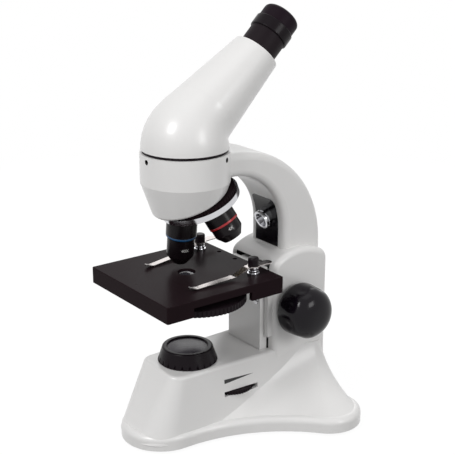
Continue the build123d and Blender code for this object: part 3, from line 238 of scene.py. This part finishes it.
nodeFinish = {
    "stand": castingEnamel, "stage_slide": whiteEnamel, "head_shell": whiteEnamel,
    "stage_plate": blackPowderCoat, "condenser_ring": blackPowderCoat, "diaphragm_disc": dullAbs,
    "turret_plate": blackPowderCoat, "turret_base": blackPowderCoat,
    "objective_4x": blackAnodised, "objective_10x": blackAnodised, "objective_40x": blackAnodised,
    "lamp_bezel": satinAbs, "lamp_panel": glossAbs,
    "focus_knob_left": glossAbs, "focus_knob_right": glossAbs,
    "clip_caps": satinAbs, "eyepiece_barrel": satinAbs, "switch_rocker": satinAbs,
    "base_cover": dullAbs, "head_flange": dullAbs, "prism_holder": dullAbs, "eyepiece_sleeve": dullAbs,
    "dimmer_wheel": dullAbs, "dimmer_pot": dullAbs, "dc_inlet": dullAbs, "switch_frame": dullAbs,
    "rubber_feet": blackRubber, "eyecup": blackRubber,
    "clip_posts": chromePlate, "clip_left": nickelSpring, "clip_right": nickelSpring,
    "turret_ring": satinChrome, "upper_lamp_barrel": chromePlate,
    "cover_screws": turnedSteel, "slide_screws": turnedSteel, "stage_screws": turnedSteel,
    "disc_pivot": turnedSteel, "guide_rails": turnedSteel, "focus_shaft": turnedSteel,
    "turret_pivot": turnedSteel, "lock_screws": blackOxide,
    "focus_rack": cutBrass, "focus_pinion": cutBrass, "shaft_bushes": cutBrass,
    "lamp_lens": groundGlass, "condenser_lens": shadedGlass, "objective_lenses": coatedGlass,
    "prism": coatedGlass, "eye_lens": coatedGlass, "field_lens": coatedGlass,
    "led_board": solderMask, "lower_led": ledEpoxy, "upper_led": ledEpoxy,
}
for nodeName, material in nodeFinish.items():
    nodes[nodeName].data.materials.clear()
    nodes[nodeName].data.materials.append(material)
print("finishes on", len(nodeFinish), "nodes")


def gridMesh(name, grids, closeU, closeV, material, body):
    # quads over grids of points, joined round in either direction where asked
    points, quads, start = [], [], 0
    for grid in grids:
        rows, columns = grid.shape[:2]
        index = start + np.arange(rows * columns).reshape(rows, columns)
        index = np.vstack([index, index[:1]]) if closeU else index
        index = np.hstack([index, index[:, :1]]) if closeV else index
        corners = [index[:-1, :-1], index[1:, :-1], index[1:, 1:], index[:-1, 1:]]
        quads += np.stack(corners, axis=-1).reshape(-1, 4).tolist()
        points += grid.reshape(-1, 3).tolist()
        start += rows * columns
    mesh = bpy.data.meshes.new(name)
    mesh.from_pydata(points, [], quads)
    mesh.shade_smooth()
    mesh.set_sharp_from_angle(angle=sharpEdge)
    return placePiece(name, mesh, material, body)


def placePiece(name, mesh, material, body):
    mesh.materials.append(material)
    piece = bpy.data.objects.new(name, mesh)
    bpy.context.collection.objects.link(piece)
    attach(piece, body)
    return piece


# pad prints: thin and dull
whitePrint = coatedSurface("white pad print", {
    "colour": "#D6D5D3", "colourTo": "#CBCAC8", "driftMm": 4, "roughness": 0.45, "glossDrift": 0.05,
    "skinMm": 0.3, "skinDepth": 0.05, "ior": 1.5})
blackPrint = coatedSurface("black pad print", {
    "colour": "#141415", "colourTo": "#1B1B1C", "driftMm": 5, "roughness": 0.45, "glossDrift": 0.05,
    "skinMm": 0.3, "skinDepth": 0.05, "ior": 1.5})

# the turret's tilted axis and the optical axis, in millimetres
turret = {"axisY": -15.9, "axisZ": 157.8, "tilt": 22.0, "restTurn": -24.5, "seatTurn": 120,
          "opticalY": -27.3}
barrels = {
    "objective_40x": {"seat": 0, "bandDrop": 17.75, "bandColour": "#12456E", "label": "40X",
                      "labelDrop": 26.0, "labelRadius": 9.1, "labelTurn": 22},
    "objective_4x": {"seat": 1, "bandDrop": 12.75, "bandColour": "#A61B22", "label": "4X",
                     "labelDrop": 17.0, "labelRadius": 9.6, "labelTurn": 22},
    "objective_10x": {"seat": 2, "bandDrop": 15.25, "bandColour": "#C9A21E", "label": "10X",
                      "labelDrop": 20.0, "labelRadius": 9.4, "labelTurn": 0},
}
bandShape = {"radius": 9.95, "halfThick": 0.24, "halfTall": 0.72, "roundSteps": 16, "turnSteps": 72}
labelShape = {"size": 3.0, "lift": 0.07, "faces": (0.8, -0.6, 0.0)}


def turretRotation(seat):
    tilt = math.radians(turret["tilt"])
    down = Vector((0, math.sin(tilt), -math.cos(tilt)))
    angle = -math.radians(turret["restTurn"] + turret["seatTurn"] * seat)
    return np.array(Matrix.Rotation(angle, 3, down))


def turnWithTurret(points, seat):
    # from an objective on the optical axis to its own seat, in metres
    pivot = np.array((0, turret["axisY"], turret["axisZ"]))
    return ((points - pivot) @ turretRotation(seat).T + pivot) * mm


def seatHeight():
    lean = math.tan(math.radians(turret["tilt"]))
    return turret["axisZ"] - (turret["axisY"] - turret["opticalY"]) * lean


def squared(wave):
    return np.sign(wave) * np.sqrt(np.abs(wave))


def addBand(name, barrel):
    # a ring round the barrel whose section is a squared-off oval
    around = np.linspace(0, 2 * np.pi, bandShape["turnSteps"], endpoint=False)[:, None]
    section = np.linspace(0, 2 * np.pi, bandShape["roundSteps"], endpoint=False)[None, :]
    radius = bandShape["radius"] + bandShape["halfThick"] * squared(np.cos(section))
    height = seatHeight() - barrel["bandDrop"] + bandShape["halfTall"] * squared(np.sin(section))
    y = turret["opticalY"] + radius * np.sin(around)
    points = np.stack(np.broadcast_arrays(radius * np.cos(around), y, height), axis=-1)
    paint = coatedSurface(name + " band lacquer", {
        "colour": barrel["bandColour"], "colourTo": barrel["bandColour"], "driftMm": 5,
        "roughness": 0.3, "glossDrift": 0.04, "skinMm": 0.5, "skinDepth": 0.05, "ior": 1.5})
    surface = turnWithTurret(points, barrel["seat"])
    band = gridMesh(name + "_band", [surface], True, True, paint, "turret")


def addLabel(name, barrel):
    # flat letters wrapped round the barrel: distance along the line becomes angle
    curve = bpy.data.curves.new(name + "_label", "FONT")
    curve.body = barrel["label"]
    curve.size = labelShape["size"]
    curve.align_x = "CENTER"
    curve.align_y = "CENTER"
    holder = bpy.data.objects.new(name + "_letters", curve)
    bpy.context.collection.objects.link(holder)
    depsgraph = bpy.context.evaluated_depsgraph_get()
    mesh = bpy.data.meshes.new_from_object(holder.evaluated_get(depsgraph))
    bpy.data.objects.remove(holder)
    flat = np.empty(len(mesh.vertices) * 3)
    mesh.vertices.foreach_get("co", flat)
    flat = flat.reshape(-1, 3)
    facing = turretRotation(barrel["seat"]).T @ np.array(labelShape["faces"])
    middle = math.atan2(facing[1], facing[0]) + math.radians(barrel["labelTurn"])
    radius = barrel["labelRadius"] + labelShape["lift"]
    angle = middle + flat[:, 0] / radius
    points = np.stack([radius * np.cos(angle), turret["opticalY"] + radius * np.sin(angle),
                       seatHeight() - barrel["labelDrop"] + flat[:, 1]], axis=-1)
    mesh.vertices.foreach_set("co", turnWithTurret(points, barrel["seat"]).ravel())
    mesh.name = name + "_label"
    mesh.update()
    placePiece(name + "_label", mesh, whitePrint, "turret")


for barrelName, barrel in barrels.items():
    addBand(barrelName, barrel)
    addLabel(barrelName, barrel)
print("objective bands and figures made")

# brightness wedge over the dimmer, in millimetres from the base centre
wedge = {"frontY": -14.4, "length": 23.6, "frontLow": 36.9, "frontHigh": 39.8, "tipZ": 38.7,
         "tipTall": 0.05, "lift": 0.06, "outsideX": 80.0, "alongSteps": 9, "acrossSteps": 3}


def flankPlane():
    # x on the base's flank as a plane through three points found on the casting
    tree = BVHTree.FromObject(nodes["stand"], bpy.context.evaluated_depsgraph_get())
    middle = (wedge["frontLow"] + wedge["frontHigh"]) / 2
    spots = [(wedge["frontY"], wedge["frontLow"]), (wedge["frontY"], wedge["frontHigh"]),
             (wedge["frontY"] + wedge["length"], middle)]
    inward = Vector((-1, 0, 0))
    hits = [tree.ray_cast(Vector((wedge["outsideX"], y, z)) * mm, inward)[0] for y, z in spots]
    rows = np.array([(1, hit.y / mm, hit.z / mm) for hit in hits])
    return np.linalg.solve(rows, np.array([hit.x / mm for hit in hits]))


def addWedge():
    # straight-sided wedge that narrows to a point towards the back
    along = np.linspace(0, 1, wedge["alongSteps"])[:, None]
    across = np.linspace(0, 1, wedge["acrossSteps"])[None, :]
    low = wedge["frontLow"] + (wedge["tipZ"] - wedge["frontLow"]) * along
    high = wedge["frontHigh"] + (wedge["tipZ"] + wedge["tipTall"] - wedge["frontHigh"]) * along
    y, z = np.broadcast_arrays(wedge["frontY"] + wedge["length"] * along, low + (high - low) * across)
    start, perY, perZ = flankPlane()
    x = start + perY * y + perZ * z + wedge["lift"]
    surface = np.stack([x, y, z], axis=-1) * mm
    mark = gridMesh("brightness_wedge", [surface], False, False, blackPrint, "stand")


addWedge()
print("brightness wedge made")


# focus knobs: domed, with finger dimples round the side; millimetres and degrees
knob = {"shaftHole": 3.05, "backRound": 5.0, "endReach": 2.0, "rimReach": 0.4, "domeStart": 10.0,
        "domePower": 2.6, "poleGap": 0.002, "dimples": 8, "firstDimple": 28.5, "dimpleDepth": 1.1,
        "dimpleMiddle": 13.0, "dimpleTall": 4.2, "dimpleWide": 10.5, "leastShare": 0.5,
        "turnSteps": 192, "roundSteps": 12, "domeSteps": 48}


def knobProfile(radius, thickness):
    # radius and distance from the housing: flat back, rounded edge, dome
    back = knob["backRound"]
    edge = np.linspace(0, np.pi / 2, knob["roundSteps"])
    dome = np.linspace(0, np.pi / 2 - knob["poleGap"], knob["domeSteps"])
    power = 2 / knob["domePower"]
    radii = [[knob["shaftHole"]], radius - back + back * np.sin(edge), radius * np.cos(dome) ** power]
    start = knob["domeStart"]
    reach = [[0], back - back * np.cos(edge), start + (thickness - start) * np.sin(dome) ** power]
    return np.concatenate(radii), np.concatenate(reach)


def addKnob(name, side):
    low, high = [np.array(corner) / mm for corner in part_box(name)]
    middle = (low + high) / 2
    radii, reach = knobProfile((high[2] - low[2]) / 2 + knob["rimReach"],
                               high[0] - low[0] + knob["endReach"])
    turn = np.linspace(0, 2 * np.pi, knob["turnSteps"], endpoint=False)[:, None]
    phase = knob["dimples"] * (turn - math.radians(knob["firstDimple"]))
    aside = np.degrees(np.arctan2(np.sin(phase), np.cos(phase)) / knob["dimples"])
    along = (reach[None, :] - knob["dimpleMiddle"]) / knob["dimpleTall"]
    dimple = np.exp(-(aside / knob["dimpleWide"]) ** 2 - along ** 2)
    radius = np.maximum(radii[None, :] - knob["dimpleDepth"] * dimple,
                        radii[None, :] * knob["leastShare"])
    start = low[0] if side > 0 else high[0]
    x, y, z = np.broadcast_arrays(start + side * reach[None, :], middle[1] - radius * np.cos(turn),
                                  middle[2] + radius * np.sin(turn))
    surface = np.stack([x, y, z], axis=-1) * mm
    piece = gridMesh(name + "_grip", [surface], True, False, glossAbs, "focus_drive")
    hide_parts(name)


addKnob("focus_knob_right", 1)
addKnob("focus_knob_left", -1)
print("knobs made")

# lamp ring: a cone with upright flutes cut into its foot; millimetres
lampRing = {"footZ": 50.0, "spigotLow": 46.0, "height": 10.3, "boreRadius": 12.5, "spigotRadius": 14.5,
            "footRadius": 20.1, "footRound": 0.5, "rimRadius": 17.2, "rimRound": 1.3,
            "lensRadius": 13.65, "lensSink": 2.8, "innerEdge": 0.5, "flutes": 24, "fluteRadius": 18.9,
            "fluteHalf": 0.85, "fluteLow": 0.9, "coneSteps": 30, "rimSteps": 9, "turnSteps": 480}


def ringProfile():
    # closed outline of radius and height, from the bore up the cone and back down inside the rim
    foot = lampRing["footZ"]
    top = foot + lampRing["height"]
    footRound = lampRing["footRound"]
    rimRound = lampRing["rimRound"]
    cone = np.linspace(0, 1, lampRing["coneSteps"])
    rise = foot + footRound + cone * (lampRing["height"] - footRound - rimRound)
    slope = lampRing["footRadius"] + cone * (lampRing["rimRadius"] - lampRing["footRadius"])
    edge = np.linspace(0, np.pi / 2, lampRing["rimSteps"])[1:]
    bore, spigot, lens = lampRing["boreRadius"], lampRing["spigotRadius"], lampRing["lensRadius"]
    low, seat, chamfer = lampRing["spigotLow"], top - lampRing["lensSink"], lampRing["innerEdge"]
    radii = [[bore, spigot, spigot, lampRing["footRadius"] - footRound], slope,
             lampRing["rimRadius"] - rimRound + rimRound * np.cos(edge),
             [lens + chamfer, lens, lens, bore]]
    heights = [[low, low, foot, foot], rise, top - rimRound + rimRound * np.sin(edge),
               [top, top - chamfer, seat, seat]]
    return np.concatenate(radii), np.concatenate(heights)


def addLampRing():
    radii, heights = ringProfile()
    turn = np.linspace(0, 2 * np.pi, lampRing["turnSteps"], endpoint=False)[:, None]
    phase = lampRing["flutes"] * turn
    aside = np.arctan2(np.sin(phase), np.cos(phase)) / lampRing["flutes"] * lampRing["footRadius"]
    flute = lampRing["fluteRadius"] + (aside / lampRing["fluteHalf"]) ** 2
    onCone = (radii > lampRing["fluteRadius"]) & (heights > lampRing["footZ"] + lampRing["fluteLow"])
    radius = np.where(onCone[None, :], np.minimum(radii[None, :], flute), radii[None, :])
    x, y, z = np.broadcast_arrays(radius * np.cos(turn), turret["opticalY"] + radius * np.sin(turn),
                                  heights[None, :])
    surface = np.stack([x, y, z], axis=-1) * mm
    piece = gridMesh("lamp_bezel_ring", [surface], True, True, satinAbs, "stand")
    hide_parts("lamp_bezel")


addLampRing()
print("lamp ring made")

# spring clips: a bent strip with a hole for the post;
# its line holds distances from the post and heights over the stage, in millimetres
clip = {"postX": 30.0, "postY": 4.7, "stageZ": 112.5, "thickness": 0.6, "holeRadius": 2.06,
        "line": ((-14.5, 6.0), (5.5, 6.0), (15.6, 2.0), (46.0, 0.72), (51.0, 2.6)), "bendMm": 1.4,
        "bendSamples": 15, "stepMm": 0.25, "width": 5.6, "tipWidth": 4.2, "eyeRadius": 4.2,
        "tailRadius": 3.4, "endGap": 0.03}
clipHands = {"clip_right": {"side": 1, "turn": 0}, "clip_left": {"side": -1, "turn": 10}}


def clipRows():
    # distance along, height, half width and half hole of the strip, close enough to round its bends
    def disc(middle, radius):
        return np.sqrt(np.maximum(radius ** 2 - (along - middle) ** 2, 0))

    start, end = clip["line"][0][0], clip["line"][-1][0]
    along = np.arange(start + clip["endGap"], end, clip["stepMm"])
    along = np.append(along, end - clip["endGap"])
    knots = np.array(clip["line"])
    offsets = np.linspace(-clip["bendMm"], clip["bendMm"], clip["bendSamples"])
    bends = [np.interp(along + offset, knots[:, 0], knots[:, 1]) for offset in offsets]
    height = np.mean(bends, axis=0)
    tip = clip["tipWidth"] / 2
    half = np.interp(along, (0, end - tip), (clip["width"] / 2, tip))
    tail = start + clip["tailRadius"]
    half = np.where(along > end - tip, disc(end - tip, tip), half)
    half = np.where(along < tail, disc(tail, clip["tailRadius"]), half)
    half = np.maximum(half, np.maximum(disc(0, clip["eyeRadius"]), disc(tail, clip["tailRadius"])))
    return along, height, half, disc(0, clip["holeRadius"])


def addClip(name, hand):
    along, height, half, hole = clipRows()
    turn = math.radians(hand["turn"])
    thick = clip["thickness"] / 2
    grids = []
    for edge in (-1, 1):
        across = edge * np.stack([hole, half, half, hole], axis=-1)
        lift = height[:, None] + thick * np.array([1, 1, -1, -1])[None, :]
        back = np.broadcast_to(-along[:, None], across.shape)
        x = hand["side"] * clip["postX"] + across * math.cos(turn) - back * math.sin(turn)
        y = clip["postY"] + across * math.sin(turn) + back * math.cos(turn)
        grids.append(np.stack([x, y, clip["stageZ"] + lift], axis=-1) * mm)
    piece = gridMesh(name + "_spring", grids, False, True, nickelSpring, name)
    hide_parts(name)


for clipName, hand in clipHands.items():
    addClip(clipName, hand)
print("clips made")


# studio, in metres and watts
studio = {"floorSize": 12.0, "paper": "#989898", "nearShare": 0.72, "nearGlow": 1.31, "nearReach": 0.12,
          "farReach": 0.75, "worldLight": 0.47}
softboxes = {
    "keySoftbox": {"place": (0.2, -1.2, 1.2), "aim": (0, 0, 0.14), "size": 0.5, "power": 12.0},
    "fillSoftbox": {"place": (1.4, 0.3, 0.7), "aim": (0, 0, 0.14), "size": 0.5, "power": 5.2},
    "topSoftbox": {"place": (0.3, 0.1, 1.7), "aim": (0, 0, 0.1), "size": 0.9, "power": 1.6},
    "backSoftbox": {"place": (-1.0, 1.0, 1.0), "aim": (0, 0, 0.16), "size": 0.9, "power": 3.2},
}


def seenDirectly(tree):
    # 1 for rays that show the surroundings: to the camera, in mirrors and through glass
    path = addNode(tree, "ShaderNodeLightPath")
    mirrored = addNode(tree, "ShaderNodeMath", {"operation": "MAXIMUM"},
                       {0: (path, "Is Camera Ray"), 1: (path, "Is Glossy Ray")})
    return addNode(tree, "ShaderNodeMath", {"operation": "MAXIMUM"},
                   {0: (mirrored, 0), 1: (path, "Is Transmission Ray")})


def mixByShare(tree, share, first, second):
    return addNode(tree, "ShaderNodeMixShader", {}, {0: (share, 0), 1: (first, 0), 2: (second, 0)})


def byDistance(tree, near, far):
    # a value that runs from near to far with the distance from the middle of the floor
    coords = addNode(tree, "ShaderNodeTexCoord")
    away = addNode(tree, "ShaderNodeVectorMath", {"operation": "LENGTH"}, {0: (coords, "Object")})
    return addNode(tree, "ShaderNodeMapRange",
                   {"From Min": studio["nearReach"], "From Max": studio["farReach"],
                    "To Min": near, "To Max": far}, {"Value": (away, "Value")})


def addFloor():
    # flat square under the feet: paper that keeps a soft shadow, lifted to white where it is seen
    half = studio["floorSize"] / 2
    mesh = bpy.data.meshes.new("studioFloor")
    corners = [(-half, -half, 0), (half, -half, 0), (half, half, 0), (-half, half, 0)]
    mesh.from_pydata(corners, [], [(0, 1, 2, 3)])
    floor = bpy.data.objects.new("studioFloor", mesh)
    bpy.context.collection.objects.link(floor)
    material, tree = newMaterial("white paper sweep")
    share = addNode(tree, "ShaderNodeMath", {"operation": "MULTIPLY"},
                    {0: (seenDirectly(tree), 0), 1: (byDistance(tree, studio["nearShare"], 1.0), 0)})
    paper = addNode(tree, "ShaderNodeBsdfDiffuse", {"Color": toLinear(studio["paper"])})
    glow = addNode(tree, "ShaderNodeEmission", {"Color": white},
                   {"Strength": (byDistance(tree, studio["nearGlow"], 1.0), 0)})
    mesh.materials.append(finishMaterial(material, mixByShare(tree, share, paper, glow)))


def addWorld():
    # white where it is seen, a dimmer grey as light
    world = bpy.data.worlds.new("studioWorld")
    bpy.context.scene.world = world
    world.use_nodes = True
    tree = world.node_tree
    tree.nodes.clear()
    light = addNode(tree, "ShaderNodeBackground", {"Color": white, "Strength": studio["worldLight"]})
    seen = addNode(tree, "ShaderNodeBackground", {"Color": white, "Strength": 1.0})
    shader = mixByShare(tree, seenDirectly(tree), light, seen)
    addNode(tree, "ShaderNodeOutputWorld", {}, {"Surface": (shader, 0)})


def addSoftbox(name, box):
    data = bpy.data.lights.new(name, "AREA")
    data.shape = "SQUARE"
    data.size = box["size"]
    data.energy = box["power"]
    lamp = bpy.data.objects.new(name, data)
    bpy.context.collection.objects.link(lamp)
    place = Vector(box["place"])
    turn = (Vector(box["aim"]) - place).to_track_quat("-Z", "Y")
    lamp.matrix_world = Matrix.Translation(place) @ turn.to_matrix().to_4x4()


addFloor()
addWorld()
for boxName, box in softboxes.items():
    addSoftbox(boxName, box)
print("studio lit")


# camera, solved from the square stage; degrees, metres and pixels
photoCamera = {"azimuth": 53.287, "pitch": 18.225, "distance": 0.694319, "focusPx": 1075.947,
               "framePx": 455, "sensorMm": 36, "stageCentre": (0.0, -0.0273, 0.1125),
               "aimAcross": 0.026803, "aimUp": 0.030348}


def addCamera():
    turn = math.radians(photoCamera["azimuth"])
    lift = math.radians(photoCamera["pitch"])
    back = Vector((math.sin(turn) * math.cos(lift), -math.cos(turn) * math.cos(lift), math.sin(lift)))
    right = Vector((math.cos(turn), math.sin(turn), 0))
    up = back.cross(right)
    aim = Vector(photoCamera["stageCentre"]) + right * photoCamera["aimAcross"]
    aim = aim + Vector((0, 0, photoCamera["aimUp"]))
    data = bpy.data.cameras.new("photoCamera")
    data.sensor_width = photoCamera["sensorMm"]
    data.lens = data.sensor_width * photoCamera["focusPx"] / photoCamera["framePx"]
    camera = bpy.data.objects.new("photoCamera", data)
    bpy.context.collection.objects.link(camera)
    axes = Matrix((right, up, back)).transposed().to_4x4()
    camera.matrix_world = Matrix.Translation(aim + back * photoCamera["distance"]) @ axes
    bpy.context.scene.camera = camera


addCamera()
bpy.context.scene.view_settings.view_transform = "Standard"
print("camera set")
